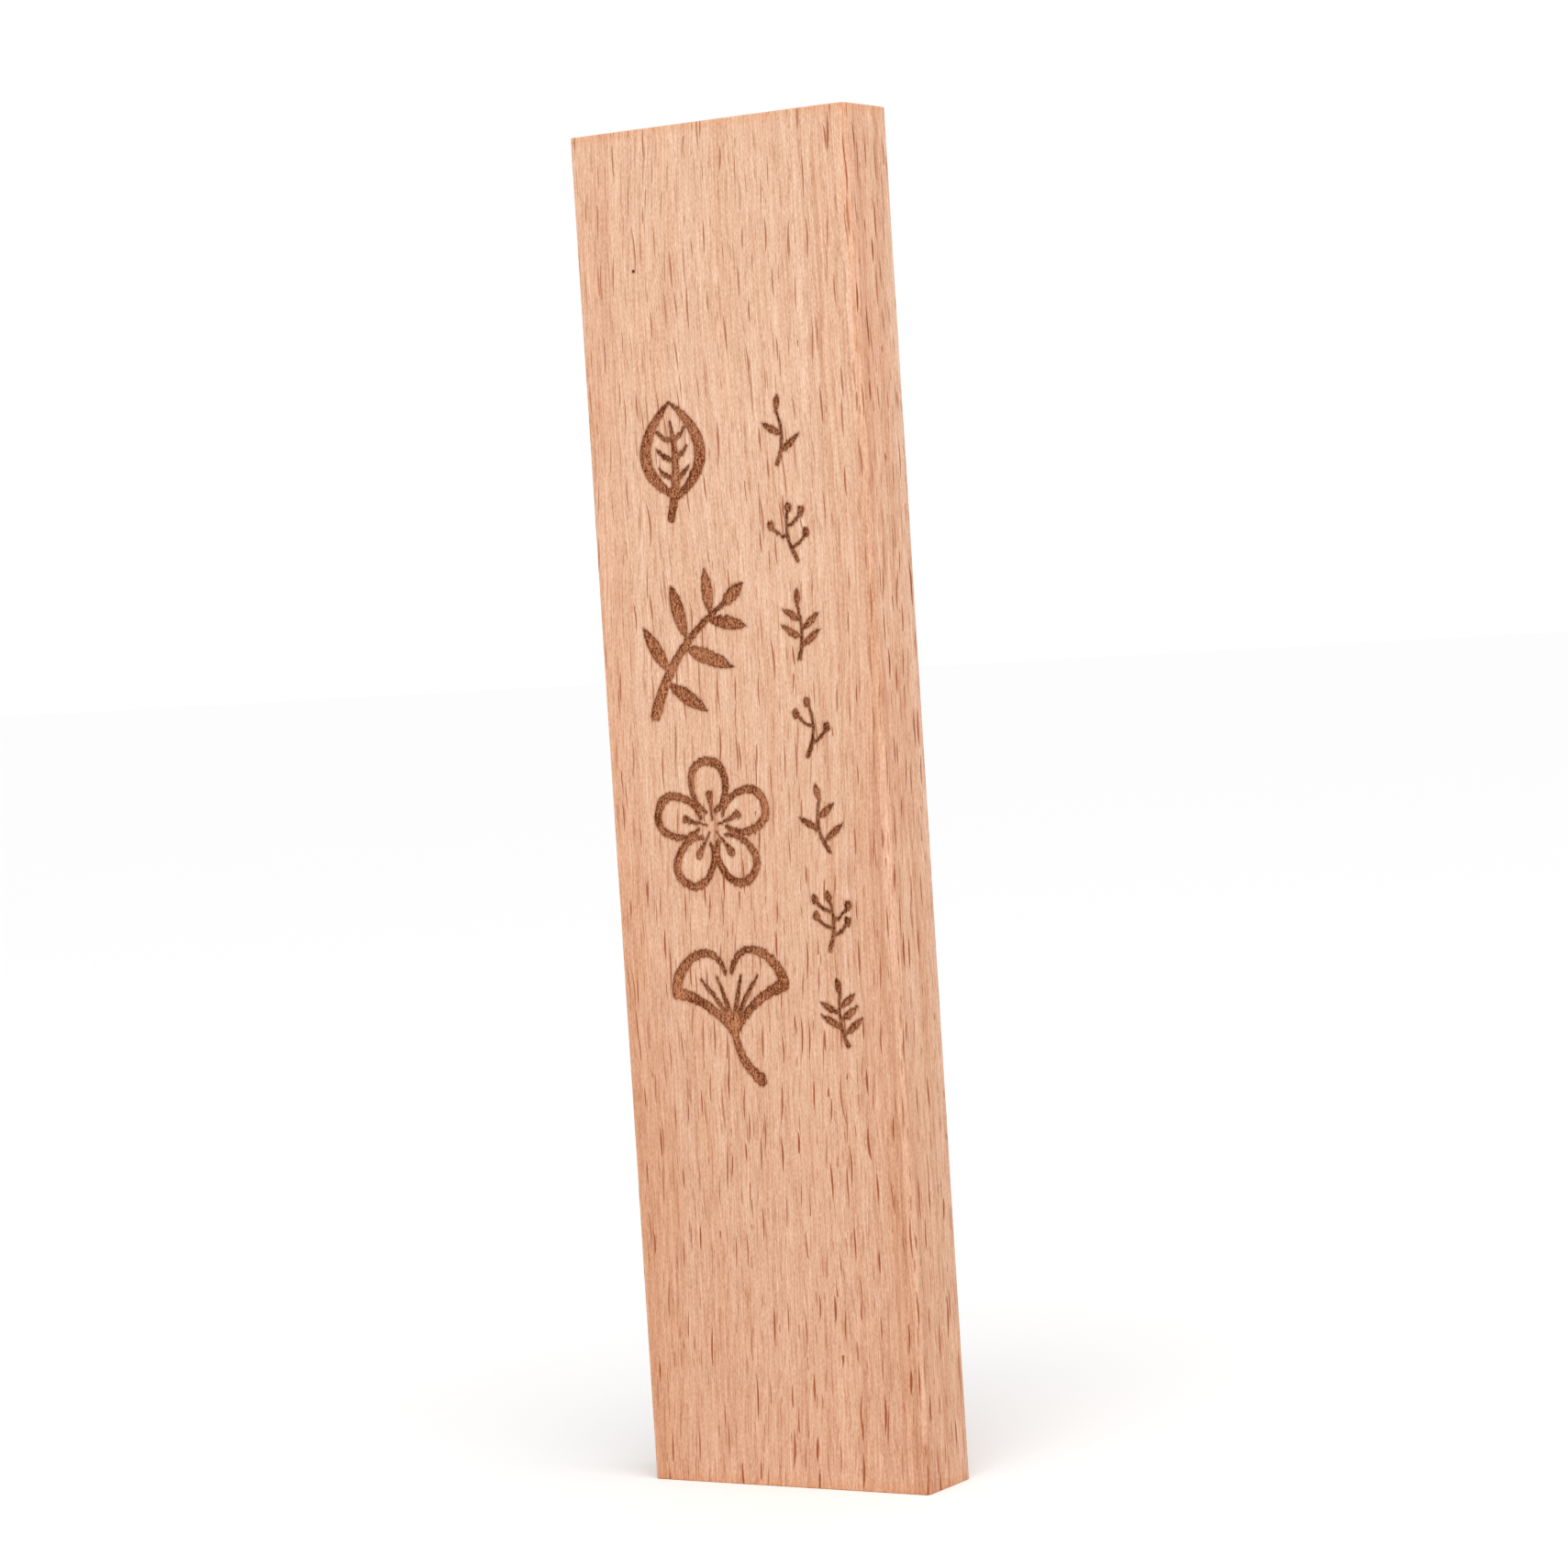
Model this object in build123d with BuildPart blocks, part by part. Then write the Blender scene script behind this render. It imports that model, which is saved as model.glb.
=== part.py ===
from build123d import *
import os

# An engraved wooden plaque: one upright strip of beech with a plain rectangular section.
# A laser has cut two leaning columns of ornaments into its front face, and every pocket
# has a floor of charred wood.
#
# Millimetres. +Z runs up the board, the front faces -Y and +X is to its right.
# The origin is the centre of the foot, the sawn end that the board stands on.

# Board
board_height = 170.0
board_width = 40.0
board_thickness = 10.0
worn_arris_radius = 0.8  # the long edge at the front right is well rounded over
arris_break = 0.3  # the other three long edges only have a narrow flat
end_break = 0.2  # and the edges of both sawn ends a narrower one

# Engraving: its axes lean by a few degrees, so that its columns drift right as they go down
engraving_centre_height = 94.6
engraving_lean = 3.0
large_column_x = -5.9
small_column_x = 9.9
large_pitch = 23.1
small_pitch = 12.0
pocket_depth = 0.4
char_thickness = 0.15

# Strokes
stroke_stations = 8
broad = 1.55
medium = 1.05
fine = 0.6
hairline = 0.38
tip = 0.25

# Leaves
blade_broadest_at = 0.45  # as a share of a leaf's length
sprig_leaf_width = 0.85
sprig_leaf_spread = 55  # degrees between a small sprig's leaves and its upright

# Berries are taller than they are wide
berry_height = 1.25
berry_width = 0.95

engraving_plane = Plane(
    origin=(0, -board_thickness / 2, engraving_centre_height),
    x_dir=Vector(1, 0, 0).rotate(Axis.Y, -engraving_lean),
    z_dir=(0, -1, 0),
)


def mark_plane(across, up, depth=0.0):
    """The plane of one mark, centred on it, at the face or at a depth below it."""
    centre = engraving_plane.from_local_coords((across, up, -depth))
    return Plane(origin=centre, x_dir=engraving_plane.x_dir, z_dir=engraving_plane.z_dir)


def brush_stroke(points, start_width, middle_width, end_width):
    """Adds a stroke along a curve through points, which swells or thins on its way."""
    with BuildLine(mode=Mode.PRIVATE) as centre:
        Spline(*points)
    left = []
    right = []
    for station in range(stroke_stations + 1):
        along = station / stroke_stations
        ends = start_width + (end_width - start_width) * along
        belly = middle_width - (start_width + end_width) / 2
        half_width = (ends + 4 * belly * along * (1 - along)) / 2
        side = (centre.line % along).rotate(Axis.Z, 90) * half_width
        left.append(centre.line @ along + side)
        right.append(centre.line @ along - side)
    butt = centre.line @ 0 - centre.line % 0 * start_width / 2
    point = centre.line @ 1 + centre.line % 1 * end_width / 2
    with BuildLine() as outline:
        Spline(*left)
        ThreePointArc(left[-1], point, right[-1])
        Spline(*reversed(right))
        ThreePointArc(right[0], butt, left[0])
    make_face(outline.edges())


def leaf_blade(base, direction, length, width):
    """Adds a solid lance-shaped leaf that starts at base and points along direction."""
    with BuildLine(mode=Mode.PRIVATE) as rib:
        PolarLine(base, length, direction)
    side = (rib.line % 0).rotate(Axis.Z, 90) * width / 2
    broadest = rib.line @ blade_broadest_at
    with BuildLine() as outline:
        Spline(rib.line @ 0, broadest + side, rib.line @ 1)
        Spline(rib.line @ 1, broadest - side, rib.line @ 0)
    make_face(outline.edges())


def upright_leaf():
    """A tall leaf seen flat on: two bowed edges, a midrib that runs on as its stalk, veins."""
    for hand in (-1, 1):
        brush_stroke([(0, -4.9), (hand * 3.9, -0.6), (0.3, 7.0)], fine, broad, tip)
        for foot in (-2.6, -0.2, 2.2):
            vein = [(0, foot), (hand * 1.2, foot + 0.5), (hand * 2.2, foot + 1.5)]
            brush_stroke(vein, fine, fine, tip)
    brush_stroke([(-1.2, -7.4), (-0.2, -4.0), (0.1, 4.6)], medium, medium, tip)


def leafy_branch():
    """A branch that bends over to the right, with lance-shaped leaves on both sides."""
    brush_stroke([(-6.6, -8.4), (-2.6, -1.8), (4.9, 4.2)], broad, medium, fine)
    leaf_blade((4.6, 4.0), 36, 4.6, 1.6)
    leaf_blade((3.0, 3.1), 92, 6.0, 1.6)
    leaf_blade((2.4, 2.7), -14, 5.9, 1.6)
    leaf_blade((-0.9, 0.4), 102, 7.4, 1.85)
    leaf_blade((-1.6, -0.4), -24, 8.0, 1.85)
    leaf_blade((-3.9, -3.5), 118, 7.0, 1.8)
    leaf_blade((-4.5, -4.6), -36, 7.0, 1.8)


def blossom():
    """Five open petals, each one looped stroke, round a ring of stamens."""
    petals = 5
    loop = [(2.1, -20), (5.2, -28), (7.9, -12), (7.9, 12), (5.2, 28), (2.1, 20)]
    for petal in range(petals):
        facing = 90 + petal * 360 / petals
        path = [Vector(radius, 0).rotate(Axis.Z, facing + turn) for radius, turn in loop]
        brush_stroke(path, fine, medium, hairline)
        stamen = [Vector(radius, 0).rotate(Axis.Z, facing) for radius in (0.9, 2.4, 4.0)]
        brush_stroke(stamen, tip, hairline, medium)


def fan_leaf():
    """A fan-shaped leaf with a notched, waved rim, radiating veins and a bent stalk."""
    brush_stroke([(0, -2.4), (0.9, -6.0), (3.2, -8.8)], medium, medium, broad)
    for hand in (-1, 1):
        brush_stroke([(0, -2.8), (hand * 3.0, 0.4), (hand * 7.9, 2.8)], medium, medium, broad)
        rim = [(hand * 7.9, 2.8), (hand * 6.6, 5.9), (hand * 3.5, 7.5), (hand * 0.5, 4.9)]
        brush_stroke(rim, broad, medium, fine)
        for reach, rise in ((1.8, 4.4), (4.2, 4.2)):
            vein = [(0, -2.0), (hand * reach * 0.5, rise * 0.5 - 0.6), (hand * reach, rise)]
            brush_stroke(vein, fine, fine, tip)


def stem_of(bend):
    """The curve of a small sprig's stem, from its foot to its tip."""
    with BuildLine(mode=Mode.PRIVATE) as stem:
        Spline((-bend, -3.9), (bend * 0.5, -0.4), (-bend * 0.2, 2.6))
    return stem.line


def leafy_sprig(leaves, bend):
    """A small sprig drawn in fine strokes, with alternate leaves and one at its tip."""
    stem = stem_of(bend)
    brush_stroke([stem @ 0, stem @ 0.5, stem @ 1], fine, hairline, hairline)
    leaf_blade(stem @ 0.97, 90 - 12 * bend, 2.2, sprig_leaf_width)
    for leaf in range(leaves):
        hand = -1 if leaf % 2 else 1
        height = 0.2 + 0.65 * leaf / leaves
        leaf_blade(stem @ height, 90 - hand * sprig_leaf_spread, 3.9 - 1.2 * height, sprig_leaf_width)


def berry_sprig(berries, bend):
    """A small sprig of fine stalks, each with a berry at its end."""
    stem = stem_of(bend)
    brush_stroke([stem @ 0, stem @ 0.5, stem @ 1], fine, hairline, hairline)
    stalk_ends = [stem @ 1]
    for berry in range(berries):
        hand = -1 if berry % 2 else 1
        root = stem @ (0.25 + 0.6 * berry / berries)
        bow = root + Vector(hand * 1.2, 0.5)
        end = root + Vector(hand * 2.3, 1.7)
        brush_stroke([root, bow, end], hairline, hairline, hairline)
        stalk_ends.append(end)
    with Locations(*stalk_ends):
        Ellipse(berry_width / 2, berry_height / 2)


# Each mark: its node's name, the function that draws it, what that needs, and its place
large_marks = [
    ("charred_upright_leaf", upright_leaf, ()),
    ("charred_branch", leafy_branch, ()),
    ("charred_blossom", blossom, ()),
    ("charred_fan_leaf", fan_leaf, ()),
]
small_marks = [
    ("charred_sprig_1", leafy_sprig, (2, 0.7)),
    ("charred_sprig_2", berry_sprig, (3, -0.7)),
    ("charred_sprig_3", leafy_sprig, (4, 0.5)),
    ("charred_sprig_4", berry_sprig, (2, 0.8)),
    ("charred_sprig_5", leafy_sprig, (3, -0.8)),
    ("charred_sprig_6", berry_sprig, (4, 0.6)),
    ("charred_sprig_7", leafy_sprig, (5, -0.5)),
]
marks = []
for column, column_x, pitch in (
    (large_marks, large_column_x, large_pitch),
    (small_marks, small_column_x, small_pitch),
):
    for place, (name, draw, choices) in enumerate(column):
        up = ((len(column) - 1) / 2 - place) * pitch
        marks.append((name, draw, choices, column_x, up))

os.makedirs("parts", exist_ok=True)

# The board: a sawn strip with eased edges and the pockets of the engraving
with BuildPart() as board:
    with BuildSketch(Plane.XY):
        Rectangle(board_width, board_thickness)
    extrude(amount=board_height)
    back_edges, front_edges = board.edges().filter_by(Axis.Z).group_by(Axis.Y)[::-1]
    front_left, front_right = front_edges.sort_by(Axis.X)
    chamfer(back_edges + front_left, length=arris_break)
    fillet(front_right, radius=worn_arris_radius)
    sawn_ends = board.faces().sort_by(Axis.Z)
    chamfer(sawn_ends[0].edges() + sawn_ends[-1].edges(), length=end_break)
    for name, draw, choices, across, up in marks:
        with BuildSketch(mark_plane(across, up)):
            draw(*choices)
        extrude(amount=-pocket_depth, mode=Mode.SUBTRACT)
board.part.label = "beech_board"
export_step(board.part, "parts/beech_board.step")

# The charred floor of each pocket, a thin layer bonded to the wood under it
for name, draw, choices, across, up in marks:
    with BuildPart() as charred_floor:
        with BuildSketch(mark_plane(across, up, pocket_depth)):
            draw(*choices)
        extrude(amount=char_thickness)
    charred_floor.part.label = name
    export_step(charred_floor.part, "parts/" + name + ".step")
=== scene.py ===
import math

import bpy
import numpy as np
from mathutils import Matrix, Vector, geometry, noise


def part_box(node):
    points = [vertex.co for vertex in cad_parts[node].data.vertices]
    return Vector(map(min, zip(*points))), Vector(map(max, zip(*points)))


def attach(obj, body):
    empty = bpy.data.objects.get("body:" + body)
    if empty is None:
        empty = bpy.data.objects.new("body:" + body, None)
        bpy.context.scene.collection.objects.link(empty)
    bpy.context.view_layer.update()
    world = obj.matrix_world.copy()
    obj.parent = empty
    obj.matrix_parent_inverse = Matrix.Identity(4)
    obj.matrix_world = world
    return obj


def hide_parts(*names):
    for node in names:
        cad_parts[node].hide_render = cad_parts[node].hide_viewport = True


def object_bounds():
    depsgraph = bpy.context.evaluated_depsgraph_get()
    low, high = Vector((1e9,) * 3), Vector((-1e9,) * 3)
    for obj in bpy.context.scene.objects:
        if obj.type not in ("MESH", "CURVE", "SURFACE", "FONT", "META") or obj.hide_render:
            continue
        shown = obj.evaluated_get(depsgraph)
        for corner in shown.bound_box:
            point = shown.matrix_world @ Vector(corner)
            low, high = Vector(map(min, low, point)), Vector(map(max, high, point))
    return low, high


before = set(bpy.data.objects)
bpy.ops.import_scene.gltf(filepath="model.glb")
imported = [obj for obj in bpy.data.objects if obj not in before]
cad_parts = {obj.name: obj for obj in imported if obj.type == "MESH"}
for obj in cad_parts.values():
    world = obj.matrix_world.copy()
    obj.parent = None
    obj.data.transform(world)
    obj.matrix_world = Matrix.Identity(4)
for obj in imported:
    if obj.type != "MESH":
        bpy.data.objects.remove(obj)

# An engraved plaque of steamed beech. The board and the charred floors of its engraving are
# rebuilt here as fine meshes on the outlines that the CAD nodes give, with burnt, fibrous
# edges and real relief. Shapes are worked out in millimetres and made in metres.

MM = 0.001
cad_low, cad_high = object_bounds()
board_low, board_high = ([value / MM for value in corner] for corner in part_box("beech_board"))
mark_names = sorted(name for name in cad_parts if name.startswith("charred_"))

board_height = board_high[2]
half_width = board_high[0]
half_thickness = board_high[1]
face_y = board_low[1]
pocket_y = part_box(mark_names[0])[1][1] / MM  # the bottom of the pockets, under the char

# Board
worn_arris_foot = 0.5  # the front right arris is sanded rounder towards the top
worn_arris_top = 1.25
crisp_arris = 0.15  # the other three
sharpest_arris = 0.01
arris_wander = 0.05  # how far the hand-sanded radii stray
end_softening = 0.2
end_levels = 4  # the rounding of a sawn end is drawn by this many rings
arc_steps = 6
face_columns = 31
level_spacing = 2.5  # between the heights at which the long edges are drawn

# Engraving
outline_spacing = 0.12
halo_spacing = 0.22  # a halo of points round each mark carries its scorch
halo_reach = 0.55
halo_clearance = 0.09
scorch_fade = 0.11
floor_spacing = 0.17
floor_clearance = 0.07
lip_depth = 0.03  # the burnt walls start this far below the face
floor_depth = 0.27
wall_run = 0.17  # and slope down to the floor over this width


# ---------------------------------------------------------------- outlines


def front_outlines(node):
    """The closed outlines, as (x, z) points, of the face that a CAD mark turns to the front."""
    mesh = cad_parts[node].data
    numbers = {}
    number_of = []
    for vertex in mesh.vertices:
        point = tuple(round(value / MM, 4) for value in vertex.co)
        number_of.append(numbers.setdefault(point, len(numbers)))
    points = list(numbers)
    front = min(point[1] for point in points)
    edges = set()
    for face in mesh.polygons:
        corners = [number_of[corner] for corner in face.vertices]
        if all(abs(points[corner][1] - front) < 0.01 for corner in corners):
            edges.update(zip(corners, corners[1:] + corners[:1]))
    following = {start: end for start, end in edges if (end, start) not in edges}
    outlines = []
    while following:
        start = min(following)
        outline = []
        while start in following:
            outline.append((points[start][0], points[start][2]))
            start = following.pop(start)
        outlines.append(np.array(outline))
    return outlines


def resampled(outline, spacing):
    """The same closed outline with its points evenly spaced."""
    closed = np.vstack([outline, outline[:1]])
    lengths = np.hypot(*np.diff(closed, axis=0).T)
    along = np.concatenate([[0], np.cumsum(lengths)])
    count = max(8, round(along[-1] / spacing))
    stops = np.arange(count) * along[-1] / count
    return np.column_stack([np.interp(stops, along, closed[:, axis]) for axis in (0, 1)])


def burnt(outline):
    """An outline whose points wander along the fibres, as a laser's edge does in wood."""
    moved = []
    for x, z in outline:
        across = 0.09 * noise.noise((x * 1.4, z * 1.8, 3))
        along = 0.2 * noise.noise((x * 2.6, z * 0.4, 7)) + 0.2 * noise.noise((x * 5.0, z * 0.8, 11))
        moved.append((x + across, z + along))
    return np.array(moved)


def segments(outlines):
    """Start and end points of every edge of some closed outlines."""
    starts = np.vstack(outlines)
    ends = np.vstack([np.roll(outline, -1, axis=0) for outline in outlines])
    return starts, ends


def in_blocks(measure, points, outlines, block=2000):
    """Applies a measure of points against outline edges to one block of points at a time."""
    starts, ends = segments(outlines)
    return np.concatenate(
        [measure(points[first : first + block], starts, ends) for first in range(0, len(points), block)]
    )


def odd_crossings(points, starts, ends):
    """Whether a ray from each point crosses the edges an odd number of times."""
    x, z = points[:, :1], points[:, 1:]
    straddles = (starts[:, 1] > z) != (ends[:, 1] > z)
    rise = ends[:, 1] - starts[:, 1]
    slope = (ends[:, 0] - starts[:, 0]) / np.where(rise == 0, 1, rise)
    return (straddles & (x < starts[:, 0] + (z - starts[:, 1]) * slope)).sum(1) % 2 == 1


def nearest_edge(points, starts, ends):
    """Distance from each point to the nearest edge."""
    edge = ends - starts
    offset = points[:, None, :] - starts
    share = np.clip((offset * edge).sum(2) / (edge**2).sum(1), 0, 1)
    return np.sqrt(((offset - share[:, :, None] * edge) ** 2).sum(2).min(1))


def scattered(low, high, spacing, seed):
    """A triangular grid of points over a box, each one nudged off its place."""
    rows = np.arange(low[1], high[1], spacing * math.sqrt(3) / 2)
    columns = np.arange(low[0], high[0], spacing)
    x, z = np.meshgrid(columns, rows)
    x = x + np.where(np.arange(len(rows)) % 2, spacing / 2, 0)[:, None]
    grid = np.column_stack([x.ravel(), z.ravel()])
    return grid + np.random.default_rng(seed).uniform(-0.15, 0.15, grid.shape) * spacing


def triangulated(outlines, extra):
    """Points and triangles of the area between closed outlines, with extra points inside it."""
    points = np.vstack(outlines + [extra]) if len(extra) else np.vstack(outlines)
    edges = []
    first = 0
    for outline in outlines:
        ring = list(range(first, first + len(outline)))
        edges += list(zip(ring, ring[1:] + ring[:1]))
        first += len(outline)
    vectors = [Vector(point) for point in points]
    result = geometry.delaunay_2d_cdt(vectors, edges, [], 0, 1e-5)
    source = [original[0] for original in result[3]]
    triangles = np.array([[source[corner] for corner in triangle] for triangle in result[2]])
    centres = points[triangles].mean(1)
    return points, triangles[in_blocks(odd_crossings, centres, outlines)]


# ---------------------------------------------------------------- meshes


class Shell:
    """Collects faces by their corner points and welds equal points together."""

    def __init__(self):
        self.numbers = {}
        self.values = []
        self.faces = []
        self.smooth = []

    def corner(self, point, value):
        """The number of a corner point, which is added if it is new."""
        key = tuple(round(float(part), 6) for part in point)
        if key not in self.numbers:
            self.numbers[key] = len(self.values)
            self.values.append(value)
        return self.numbers[key]

    def add(self, points, faces, smooth, values=None):
        """Adds faces over points, with one value at each point for the piece's attribute."""
        values = np.zeros(len(points)) if values is None else values
        corners = [self.corner(point, value) for point, value in zip(points, values)]
        for face in faces:
            self.faces.append([corners[index] for index in face])
            self.smooth.append(smooth)

    def piece(self, name, attribute):
        """Makes the Blender object."""
        mesh = bpy.data.meshes.new(name)
        mesh.from_pydata([Vector(point) * MM for point in self.numbers], [], self.faces)
        mesh.polygons.foreach_set("use_smooth", self.smooth)
        layer = mesh.attributes.new(attribute, "FLOAT", "POINT")
        layer.data.foreach_set("value", np.array(self.values, np.float32))
        mesh.validate()
        mesh.update()
        thing = bpy.data.objects.new(name, mesh)
        bpy.context.scene.collection.objects.link(thing)
        return thing


def on_plane(points, y):
    """Points (x, z) of the face, placed at a depth y or at one depth each."""
    return np.column_stack([points[:, 0], np.broadcast_to(y, len(points)), points[:, 1]])


def ring_walls(shell, outline, outer_y, inner_y, outward, value):
    """A strip of wall between two depths along a closed outline."""
    count = len(outline)
    points = np.vstack([on_plane(outline, outer_y), on_plane(outline, inner_y)])
    for index in range(count):
        after = (index + 1) % count
        face = [index, after, after + count, index + count]
        shell.add(points[face], [[0, 1, 2, 3] if outward else [3, 2, 1, 0]], False, [value] * 4)


def cross_section(z, inset):
    """Points (x, y) round the board at a height, from the front's left end and on to the right."""
    worn = worn_arris_foot + (worn_arris_top - worn_arris_foot) * z / board_height
    points = []
    for quarter, (side, face) in enumerate(((1, -1), (1, 1), (-1, 1), (-1, -1))):
        radius = crisp_arris if quarter else worn
        radius += arris_wander * noise.noise((quarter * 7.3, 1.7, z * 0.05))
        radius = max(radius, inset + sharpest_arris)
        reach = radius - inset
        for step in range(arc_steps + 1):
            turn = math.radians(90 * (quarter - 1) + 90 * step / arc_steps)
            x = side * (half_width - radius) + reach * math.cos(turn)
            y = face * (half_thickness - radius) + reach * math.sin(turn)
            points.append((x, y))
    left = points.pop()
    right = points[0]
    columns = np.linspace(left[0], right[0], face_columns)
    return [(x, left[1]) for x in columns[:-1]] + points


def board_rings():
    """Rings of points round the board from its foot to its top, with both ends rounded over."""
    levels = []
    for step in range(end_levels):
        turn = math.radians(90 * step / (end_levels - 1))
        levels.append((end_softening * (1 - math.cos(turn)), end_softening * (1 - math.sin(turn))))
    body = np.linspace(end_softening, board_height - end_softening, round(board_height / level_spacing))
    levels += [(z, 0.0) for z in body[1:-1]]
    levels += [(board_height - z, inset) for z, inset in reversed(levels[:end_levels])]
    rings = []
    for z, inset in levels:
        rings.append([(x, y, z) for x, y in cross_section(z, inset)])
    return rings


def add_sides_and_ends(shell, rings):
    """Joins the rings and closes both ends, but leaves the flat of the front face open."""
    around = len(rings[0])
    for lower in range(len(rings) - 1):
        in_body = end_levels - 1 <= lower < len(rings) - end_levels
        for index in range(around):
            after = (index + 1) % around
            if in_body and index < face_columns - 1:
                continue
            below, above = rings[lower], rings[lower + 1]
            shell.add([below[index], below[after], above[after], above[index]], [[0, 1, 2, 3]], True)
    shell.add(rings[0], [list(reversed(range(around)))], False)
    shell.add(rings[-1], [list(range(around))], False)


def face_border(rings):
    """The closed outline of the opening that the rings leave at the front."""
    bottom = [(point[0], point[2]) for point in rings[end_levels - 1][:face_columns]]
    top = [(point[0], point[2]) for point in rings[-end_levels][:face_columns]]
    between = rings[end_levels:-end_levels]
    right = [(ring[face_columns - 1][0], ring[0][2]) for ring in between]
    left = [(ring[0][0], ring[0][2]) for ring in between]
    return np.array(bottom + right + top[::-1] + left[::-1])


def halo_points(outlines):
    """Points on the sound wood close round every mark."""
    halo = []
    for seed, group in enumerate(outlines.values()):
        everything = np.vstack(group)
        near = scattered(everything.min(0) - halo_reach, everything.max(0) + halo_reach, halo_spacing, seed)
        distance = in_blocks(nearest_edge, near, group)
        outside = ~in_blocks(odd_crossings, near, group)
        halo.append(near[outside & (distance > halo_clearance) & (distance < halo_reach)])
    return np.vstack(halo)


def add_face(shell, border, outlines):
    """The front face, open at the marks and scorched most at their rims."""
    halo = halo_points(outlines)
    loops = [outline for group in outlines.values() for outline in group]
    points, triangles = triangulated([border] + loops, halo)
    scorch = np.zeros(len(points))
    first_halo = len(points) - len(halo)
    scorch[len(border) : first_halo] = 1
    scorch[first_halo:] = np.exp(-in_blocks(nearest_edge, halo, loops) / scorch_fade)
    shell.add(on_plane(points, face_y), triangles, False, scorch)


def add_pockets(shell, outlines):
    """The upright walls and the flat bottom of every pocket."""
    for group in outlines.values():
        for outline in group:
            ring_walls(shell, outline, face_y, pocket_y, False, 1.0)
        points, triangles = triangulated(group, [])
        shell.add(on_plane(points, pocket_y), triangles, False, np.ones(len(points)))


def board_piece(outlines):
    """The board: eased strip, sawn ends, and a front face with the burnt pockets cut into it."""
    shell = Shell()
    rings = board_rings()
    add_sides_and_ends(shell, rings)
    add_face(shell, face_border(rings), outlines)
    add_pockets(shell, outlines)
    return shell.piece("plaque_board", "scorch")


def floor_piece(name, group, seed):
    """The charred lining of one mark: sloping walls and a floor ridged by the fibres."""
    everything = np.vstack(group)
    inner = scattered(everything.min(0), everything.max(0), floor_spacing, seed)
    inner = inner[in_blocks(odd_crossings, inner, group)]
    inner = inner[in_blocks(nearest_edge, inner, group) > floor_clearance]
    points, triangles = triangulated(group, inner)
    edge = np.zeros(len(points))
    edge[len(everything) :] = in_blocks(nearest_edge, inner, group)
    share = np.clip(edge / wall_run, 0, 1)
    share = share * share * (3 - 2 * share)
    depth = []
    for (x, z), slope in zip(points, share):
        ridge = 0.035 * noise.noise((x * 2.4, z * 0.35, 5)) + 0.03 * noise.noise((x * 5.5, z * 1.1, 9))
        depth.append(lip_depth + (floor_depth - lip_depth + ridge) * slope)
    shell = Shell()
    shell.add(on_plane(points, face_y + np.array(depth)), triangles, True, edge)
    back_points, back_triangles = triangulated(group, [])
    shell.add(on_plane(back_points, pocket_y), back_triangles[:, ::-1], False)
    for outline in group:
        ring_walls(shell, outline, face_y + lip_depth, pocket_y, True, 0.0)
    return shell.piece(name.replace("charred_", "burnt_"), "edge_distance")


# ---------------------------------------------------------------- materials


def paint(red, green, blue):
    """A linear colour from the 0 to 255 numbers of a colour picker."""
    parts = []
    for part in (red, green, blue):
        part = part / 255
        parts.append(part / 12.92 if part <= 0.04045 else ((part + 0.055) / 1.055) ** 2.4)
    return (*parts, 1)


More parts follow.
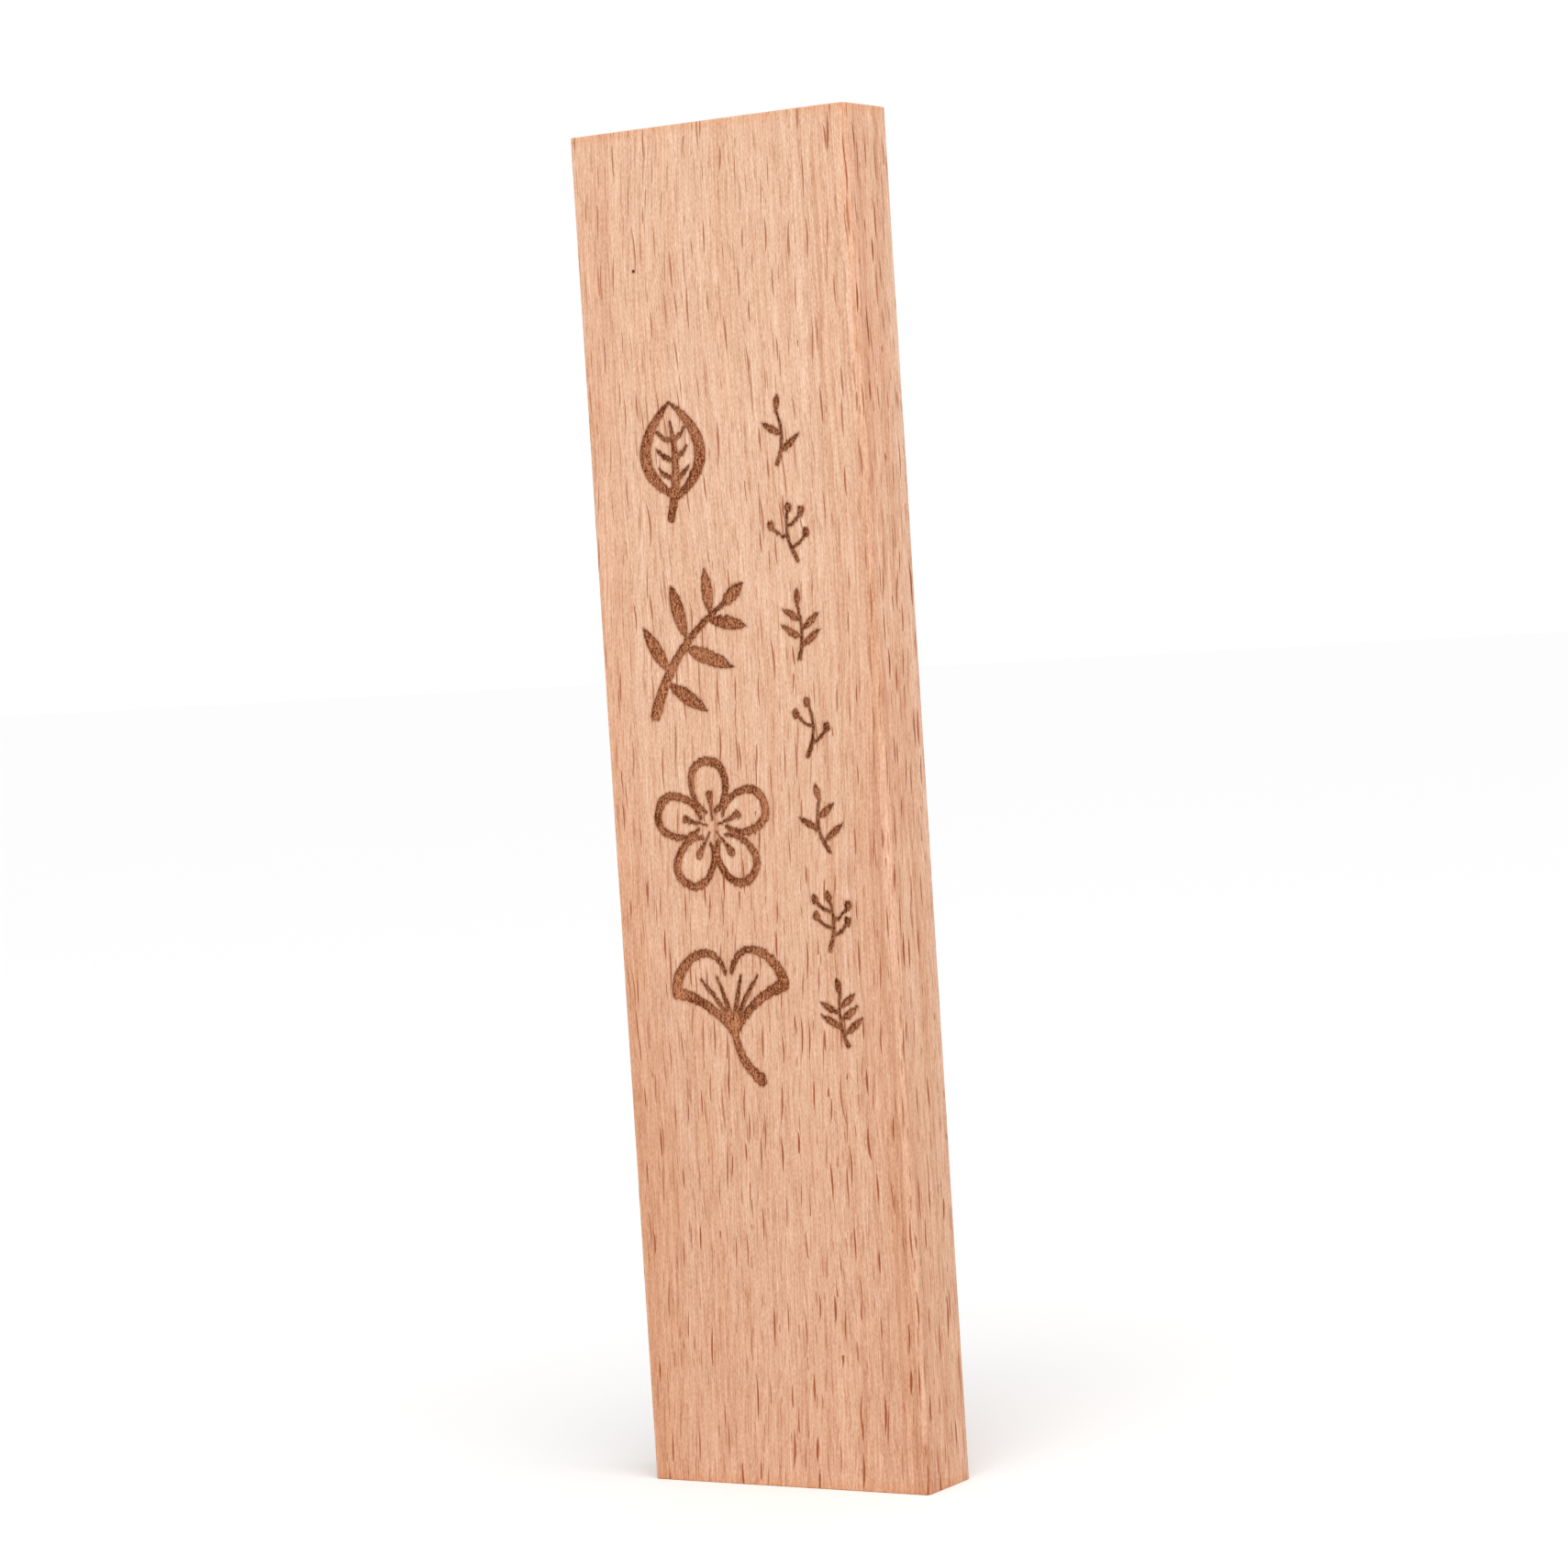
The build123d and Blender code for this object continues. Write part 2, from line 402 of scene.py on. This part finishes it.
class Nodes:
    """Adds shader nodes to one material. Each method returns the new node's output."""

    def __init__(self, name):
        self.material = bpy.data.materials.new(name)
        self.material.use_nodes = True
        self.tree = self.material.node_tree
        self.shader = self.tree.nodes["Principled BSDF"]

    def new(self, kind, inputs, output=0, **settings):
        node = self.tree.nodes.new("ShaderNode" + kind)
        for setting, value in settings.items():
            setattr(node, setting, value)
        for socket, value in inputs.items():
            self.feed(node.inputs[socket], value)
        return node.outputs[output]

    def feed(self, socket, value):
        if isinstance(value, bpy.types.NodeSocket):
            self.tree.links.new(value, socket)
        else:
            socket.default_value = value

    def calc(self, operation, *values):
        return self.new("Math", dict(enumerate(values)), operation=operation)

    def point(self, x, y, z):
        return self.new("CombineXYZ", {0: x, 1: y, 2: z})

    def scaled(self, x, y, z, scales):
        """The point whose parts are each multiplied by a scale."""
        return self.point(*(self.calc("MULTIPLY", *pair) for pair in zip((x, y, z), scales)))

    def parts(self, vector):
        node = self.new("SeparateXYZ", {0: vector}).node
        return node.outputs

    def noise(self, place, detail=2.0, roughness=0.5):
        inputs = {"Vector": place, "Scale": 1.0, "Detail": detail, "Roughness": roughness}
        return self.new("TexNoise", inputs)

    def swing(self, value, strength, onto):
        """Adds how far a 0 to 1 value is from its middle, times a strength."""
        return self.calc("MULTIPLY_ADD", self.calc("SUBTRACT", value, 0.5), strength, onto)

    def sway(self, onto, strength, place, detail=1.0):
        """Adds the swing of a noise to a value."""
        return self.swing(self.noise(place, detail=detail, roughness=0.6), strength, onto)

    def slide(self, value, low, high, start=0.0, end=1.0):
        """Moves smoothly from start to end as the value goes from low to high."""
        inputs = {"Value": value, "From Min": low, "From Max": high, "To Min": start, "To Max": end}
        return self.new("MapRange", inputs, interpolation_type="SMOOTHSTEP")

    def mix(self, share, first, second, blend="MIX"):
        inputs = {0: share, 6: first, 7: second}
        return self.new("Mix", inputs, output=2, data_type="RGBA", blend_type=blend, clamp_factor=False)

    def brighten(self, colour, factor):
        return self.new("VectorMath", {0: colour, 3: factor}, operation="SCALE")

    def attribute(self, name):
        return self.new("Attribute", {}, output=2, attribute_name=name)

    def finish(self, colour, roughness, height, relief, shine=0.2):
        """Feeds the shader. Relief is the height in metres of a bump of one."""
        bump = self.new("Bump", {"Height": height, "Distance": relief, "Strength": 1.0})
        self.feed(self.shader.inputs["Base Color"], colour)
        self.feed(self.shader.inputs["Roughness"], roughness)
        self.feed(self.shader.inputs["Normal"], bump)
        self.feed(self.shader.inputs["Specular IOR Level"], shine)
        return self.material


# The log's pith lies to the left of the board and behind it
pith_x = -110.0
pith_y = 100.0
ring_radius = 150.0  # about the board's own distance from the pith
ring_width = 3.1
ring_phase = 0.65
fibre_lean = 0.025  # the fibres lean to the right on their way up, and the rings stand upright
outward_share = 0.78  # how much of a step to the right leads away from the pith
pin_knot_x = -11.8
pin_knot_z = 152.5


class Grain:
    """The wood's own coordinates at a point: across the rays, along them, and up the trunk."""

    def __init__(self, nodes):
        here = nodes.new("TexCoord", {}, output=3)
        calc = nodes.calc
        self.nodes = nodes
        self.x, self.y, self.z = (calc("DIVIDE", part, MM) for part in nodes.parts(here))
        drift = 0.0
        for sideways, upward, size in ((0.04, 0.014, 5.0), (0.25, 0.11, 0.5)):
            place = nodes.scaled(self.x, self.y, self.z, (sideways, sideways, upward))
            drift = nodes.swing(nodes.noise(place, detail=0.0), size, drift)
        across = calc("ADD", calc("MULTIPLY_ADD", self.z, -fibre_lean, self.x), drift)
        from_pith_x = calc("SUBTRACT", across, pith_x)
        from_pith_y = calc("SUBTRACT", self.y, pith_y)
        squares = calc("ADD", calc("POWER", from_pith_x, 2.0), calc("POWER", from_pith_y, 2.0))
        self.out = calc("SQRT", squares)
        self.round = calc("MULTIPLY", calc("ARCTAN2", from_pith_y, from_pith_x), ring_radius)
        self.ring_out = calc("MULTIPLY_ADD", self.z, fibre_lean * outward_share, self.out)

    def ring(self):
        """How many yearly rings lie between the pith and a point."""
        wander = self.nodes.noise(self.at(0.03, 0.3, 0.006))
        rings = self.nodes.calc("DIVIDE", self.ring_out, ring_width)
        return self.nodes.calc("ADD", self.nodes.calc("ADD", rings, wander), ring_phase)

    def at(self, per_round, per_out, per_z):
        """The wood coordinates at so many cycles per millimetre."""
        return self.nodes.scaled(self.round, self.out, self.z, (per_round, per_out, per_z))

    def flecks(self, spacing, shift, lengths, widths, broader=1.0):
        """Spindle-shaped cuts through the wood's rays, one to a cell, and a random number for each.

        Spacing is the size of a cell round, along and up the trunk. Lengths and widths are the
        least and greatest halves of a spindle, and broader multiplies its width.
        """
        nodes, calc = self.nodes, self.nodes.calc
        in_cells = self.at(*(1 / step for step in spacing))
        place = nodes.new("VectorMath", {0: in_cells, 1: (shift, shift, shift)})
        cell = nodes.new("TexVoronoi", {"Vector": place, "Scale": 1.0, "Randomness": 0.85}).node
        centre_round, _, centre_z = nodes.parts(cell.outputs["Position"])
        chance, length, width = nodes.parts(cell.outputs["Color"])
        centre_round = calc("MULTIPLY", calc("SUBTRACT", centre_round, shift), spacing[0])
        centre_z = calc("MULTIPLY", calc("SUBTRACT", centre_z, shift), spacing[2])

        # Each spindle leans and bows a little, by numbers of its own
        off_z = calc("SUBTRACT", self.z, centre_z)
        off_round = calc("SUBTRACT", self.round, centre_round)
        lean = calc("MULTIPLY_ADD", calc("FRACT", calc("MULTIPLY", chance, 17.0)), 0.08, -0.04)
        off_round = calc("MULTIPLY_ADD", off_z, lean, off_round)
        bow = calc("MULTIPLY_ADD", calc("FRACT", calc("MULTIPLY", length, 23.0)), 0.05, -0.025)
        off_round = calc("MULTIPLY_ADD", calc("POWER", off_z, 2.0), bow, off_round)
        half_length = calc("MULTIPLY_ADD", length, lengths[1] - lengths[0], lengths[0])
        half_width = calc("MULTIPLY_ADD", width, widths[1] - widths[0], widths[0])
        half_width = calc("MULTIPLY", half_width, broader)
        taper = calc("SUBTRACT", 1.0, calc("POWER", calc("DIVIDE", off_z, half_length), 2.0))
        reach = calc("MULTIPLY", half_width, calc("MAXIMUM", taper, 0.0))
        shape = nodes.slide(calc("SUBTRACT", reach, calc("ABSOLUTE", off_round)), -0.01, 0.05)
        return calc("MULTIPLY", shape, nodes.slide(taper, 0.0, 0.35)), chance


def stripes(nodes, grain, colour, outer_band, on_side):
    """Adds redder stripes a few millimetres wide, dark orange streaks, and painted shade towards the foot,
    partly a deeper wood tone.
    """
    calc = nodes.calc
    inner_band = nodes.slide(grain.ring_out, 144.5, 138.5)
    band = calc("MAXIMUM", calc("MULTIPLY", outer_band, 0.4), inner_band)
    red = nodes.sway(calc("MULTIPLY_ADD", band, 0.7, 0.1), 2.6, grain.at(0.35, 0.35, 0.02), detail=3.0)
    red = nodes.new("Clamp", {"Value": red})
    colour = nodes.mix(red, colour, (0.93, 0.83, 0.75, 1), blend="MULTIPLY")
    streak = nodes.slide(nodes.noise(grain.at(1.7, 1.7, 0.03), detail=2.0), 0.54, 0.66)
    streak = calc("MULTIPLY", streak, calc("MULTIPLY_ADD", outer_band, 0.36, 0.08))
    colour = nodes.mix(streak, colour, paint(206, 141, 104))
    flush = calc("MULTIPLY", calc("MULTIPLY", on_side, outer_band), nodes.slide(grain.z, 20.0, 130.0))
    colour = nodes.mix(flush, colour, (0.99, 0.94, 0.92, 1), blend="MULTIPLY")
    # Painted shade: the colour darkens from the top down to the foot as if lit from above; part of it is
    # the wood's own deeper tone
    painted_foot_shade = nodes.slide(grain.z, 140.0, 0.0)
    return nodes.mix(painted_foot_shade, colour, (0.88, 0.81, 0.76, 1), blend="MULTIPLY")


def rays(nodes, grain, on_side):
    """How much a ray shows: a few strong flecks among many faint ones, broader on the side."""
    calc = nodes.calc
    broader = calc("MULTIPLY_ADD", on_side, 0.3, 1.0)
    fleck = 0.0
    for spacing, shift, lengths, widths, faint, strong in (
        ((2.0, 16.0, 9.0), 3.3, (1.5, 3.6), (0.06, 0.13), 0.35, 1.0),
        ((1.7, 13.0, 8.4), 7.7, (1.4, 3.2), (0.06, 0.12), 0.25, 1.0),
        ((0.9, 9.0, 4.2), 5.1, (0.7, 1.7), (0.04, 0.09), 0.0, 0.6),
    ):
        shape, chance = grain.flecks(spacing, shift, lengths, widths, broader)
        strength = nodes.slide(chance, 0.15, 0.8, faint, strong)
        fleck = calc("MAXIMUM", fleck, calc("MULTIPLY", shape, strength))
    return fleck


def pin_knot(nodes, grain, colour):
    """Adds a pin knot near the top of the face."""
    calc = nodes.calc
    knot_x = calc("SUBTRACT", grain.x, pin_knot_x)
    knot_z = calc("SUBTRACT", grain.z, pin_knot_z)
    knot_y = calc("SUBTRACT", grain.y, face_y)
    off_knot = nodes.point(knot_x, knot_y, knot_z)
    from_knot = nodes.new("VectorMath", {0: off_knot}, output=1, operation="LENGTH")
    return nodes.mix(nodes.slide(from_knot, 0.34, 0.12), colour, paint(82, 44, 30))


def long_grain(nodes, grain):
    """Colour and height of steamed beech that is cut along the trunk."""
    calc = nodes.calc

    # Yearly rings, long and short fibres, and the finest vessels
    outer_band = nodes.slide(grain.ring_out, 160.0, 167.0)
    late = nodes.slide(calc("FRACT", grain.ring()), 0.45, 0.97)
    fibre = nodes.noise(grain.at(5.6, 4.6, 0.3), detail=1.0, roughness=0.6)
    pale = calc("MULTIPLY_ADD", late, calc("MULTIPLY_ADD", outer_band, -0.2, -0.12), 0.56)
    on_side = nodes.slide(grain.x, half_width - 1.2, half_width - 0.2)
    # Painted light: the side face is painted a little paler so that it shows as bright as the front
    pale = calc("MULTIPLY_ADD", on_side, 0.06, pale)
    pale = nodes.sway(pale, 0.6, grain.at(1.3, 1.3, 0.07))
    pale = nodes.sway(pale, 1.1, grain.at(6.0, 5.0, 0.07))

    # On the face, fibres and flecks show less towards the top
    calm = calc("MAXIMUM", nodes.slide(grain.z, 20.0, 150.0, 1.0, 0.78), on_side)
    pale = nodes.swing(fibre, calc("MULTIPLY", calm, 1.6), pale)
    pale = nodes.sway(pale, 1.2, grain.at(8.0, 7.0, 2.2), detail=0.0)
    colour = nodes.mix(pale, paint(218, 165, 132), paint(251, 210, 181))

    colour = stripes(nodes, grain, colour, outer_band, on_side)
    fleck = rays(nodes, grain, on_side)
    colour = nodes.mix(calc("MULTIPLY", fleck, calm), colour, paint(165, 84, 44))
    return pin_knot(nodes, grain, colour), calc("SUBTRACT", fibre, fleck)


def end_grain(nodes, grain):
    """Colour and height of a sawn end: pores, pale rays and the arcs of the yearly rings."""
    calc = nodes.calc
    late = nodes.slide(calc("FRACT", grain.ring()), 0.55, 0.95)
    pores = nodes.noise(grain.at(7.0, 7.0, 1.0), detail=2.0)
    ray = nodes.slide(nodes.noise(grain.at(2.6, 0.12, 0.5), detail=2.0), 0.55, 0.64)
    blotch = nodes.noise(grain.at(0.4, 0.4, 0.5), detail=2.0)
    pale = nodes.swing(pores, 2.6, 0.6)
    pale = calc("MULTIPLY_ADD", late, -0.45, pale)
    pale = nodes.swing(blotch, 1.0, pale)
    colour = nodes.mix(pale, paint(186, 122, 84), paint(228, 172, 134))
    colour = nodes.mix(calc("MULTIPLY", ray, 0.55), colour, paint(238, 196, 162))
    saw = nodes.noise(nodes.scaled(grain.x, grain.y, grain.z, (0.2, 3.5, 0.0)))
    return colour, calc("MULTIPLY_ADD", pores, 0.8, saw)


def beech():
    """Planed and sanded beech, browned where the engraving has burnt its edges."""
    nodes = Nodes("beech_wood")
    calc = nodes.calc
    grain = Grain(nodes)
    colour, height = long_grain(nodes, grain)
    from_end = calc("MINIMUM", grain.z, calc("SUBTRACT", board_height, grain.z))
    colour = nodes.mix(nodes.slide(from_end, 1.6, 0.2), colour, (1.0, 0.92, 0.84, 1), blend="MULTIPLY")
    end_colour, end_height = end_grain(nodes, grain)
    facing = calc("ABSOLUTE", nodes.parts(nodes.new("TexCoord", {}, output=1))[2])
    end = nodes.slide(facing, 0.55, 0.9)
    colour = nodes.mix(end, colour, end_colour)
    height = calc("MULTIPLY_ADD", calc("SUBTRACT", end_height, height), end, height)
    scorch = nodes.attribute("scorch")
    colour = nodes.mix(calc("MULTIPLY", scorch, 0.8), colour, paint(150, 94, 62))
    roughness = calc("MULTIPLY_ADD", height, -0.08, 0.66)
    return nodes.finish(colour, roughness, height, relief=0.00003)


def charred_beech():
    """Laser-charred beech: brown, mottled along the fibres, darkest at its edges."""
    nodes = Nodes("charred_beech")
    calc = nodes.calc
    grain = Grain(nodes)
    blotch = nodes.noise(grain.at(0.3, 0.3, 0.2), detail=2.0)
    streak = nodes.noise(grain.at(4.4, 3.6, 0.8), detail=1.0, roughness=0.6)
    speck = nodes.noise(grain.at(7.0, 7.0, 3.5), detail=1.0)
    light = nodes.swing(blotch, 1.2, 0.5)
    light = nodes.swing(streak, 1.9, light)
    light = nodes.swing(speck, 3.2, light)
    colour = nodes.mix(nodes.slide(light, -0.1, 1.1), paint(114, 53, 24), paint(204, 138, 99))
    rim = nodes.slide(nodes.attribute("edge_distance"), 0.0, 0.28, 0.68, 1.0)
    colour = nodes.brighten(colour, rim)
    return nodes.finish(colour, 0.85, calc("ADD", streak, speck), relief=0.00004, shine=0.06)


def studio_white():
    """Matt white paint."""
    nodes = Nodes("studio_white")
    nodes.feed(nodes.shader.inputs["Base Color"], (0.96, 0.96, 0.96, 1))
    nodes.feed(nodes.shader.inputs["Roughness"], 0.9)
    return nodes.material


# ---------------------------------------------------------------- the plaque

outlines = {}
for name in mark_names:
    outlines[name] = [burnt(resampled(outline, outline_spacing)) for outline in front_outlines(name)]

board = board_piece(outlines)
board.data.materials.append(beech())
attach(board, "root")
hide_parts("beech_board")

char_material = charred_beech()
for seed, name in enumerate(mark_names):
    floor = floor_piece(name, outlines[name], seed)
    floor.data.materials.append(char_material)
    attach(floor, "root")
    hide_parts(name)


# ---------------------------------------------------------------- studio


def area_light(name, place, size, power, target):
    """A square soft light that faces a target."""
    lamp = bpy.data.lights.new(name, "AREA")
    lamp.size = size
    lamp.energy = power
    thing = bpy.data.objects.new(name, lamp)
    thing.location = place
    thing.rotation_euler = (Vector(target) - Vector(place)).to_track_quat("-Z", "Y").to_euler()
    bpy.context.scene.collection.objects.link(thing)
    return thing


def studio_floor(reach):
    """A level white square that reaches equally far on all sides."""
    mesh = bpy.data.meshes.new("studio_floor")
    corners = [(-reach, -reach, 0), (reach, -reach, 0), (reach, reach, 0), (-reach, reach, 0)]
    mesh.from_pydata(corners, [], [[0, 1, 2, 3]])
    mesh.materials.append(studio_white())
    ground = bpy.data.objects.new("studio_floor", mesh)
    bpy.context.scene.collection.objects.link(ground)
    return ground


studio_floor(reach=6.0)
centre = (cad_low + cad_high) / 2
area_light("top_light", place=(0.1, -0.45, 0.75), size=0.4, power=0.6, target=centre)

sun = bpy.data.objects.new("sun_light", bpy.data.lights.new("sun_light", "SUN"))
sun.data.energy = 1.75
sun.data.angle = math.radians(50)
sun_direction = Vector((-0.3, 0.3, -0.9))
sun.rotation_euler = sun_direction.to_track_quat("-Z", "Y").to_euler()
bpy.context.scene.collection.objects.link(sun)

world = bpy.data.worlds.new("studio")
bpy.context.scene.world = world
world.use_nodes = True
surround = world.node_tree.nodes["Background"]
surround.inputs["Color"].default_value = (1, 1, 1, 1)
light_path = world.node_tree.nodes.new("ShaderNodeLightPath")
brightness = world.node_tree.nodes.new("ShaderNodeMapRange")
brightness.inputs["To Min"].default_value = 0.55  # as a light
brightness.inputs["To Max"].default_value = 1.0  # as the backdrop
world.node_tree.links.new(light_path.outputs["Is Camera Ray"], brightness.inputs["Value"])
world.node_tree.links.new(brightness.outputs[0], surround.inputs["Strength"])
bpy.context.scene.view_settings.view_transform = "Standard"

# Camera: nearly level, well round to the right of the front, and rolled a little
view_azimuth = math.radians(31.92)
view_elevation = math.radians(2.26)
view_roll = math.radians(-3.62)
view_distance = 543.5 * MM
aim = centre + Vector((1.71, 1.18, 2.49)) * MM  # just off the centre of the board

camera = bpy.data.objects.new("camera", bpy.data.cameras.new("camera"))
bpy.context.scene.collection.objects.link(camera)
bpy.context.scene.camera = camera
camera.data.sensor_width = 36.0
camera.data.lens = 99.85
toward_camera = Vector((
    math.sin(view_azimuth) * math.cos(view_elevation),
    -math.cos(view_azimuth) * math.cos(view_elevation),
    math.sin(view_elevation),
))
level = (-toward_camera).to_track_quat("-Z", "Y").to_matrix().to_4x4()
camera.matrix_world = (
    Matrix.Translation(aim + toward_camera * view_distance) @ level @ Matrix.Rotation(view_roll, 4, "Z")
)
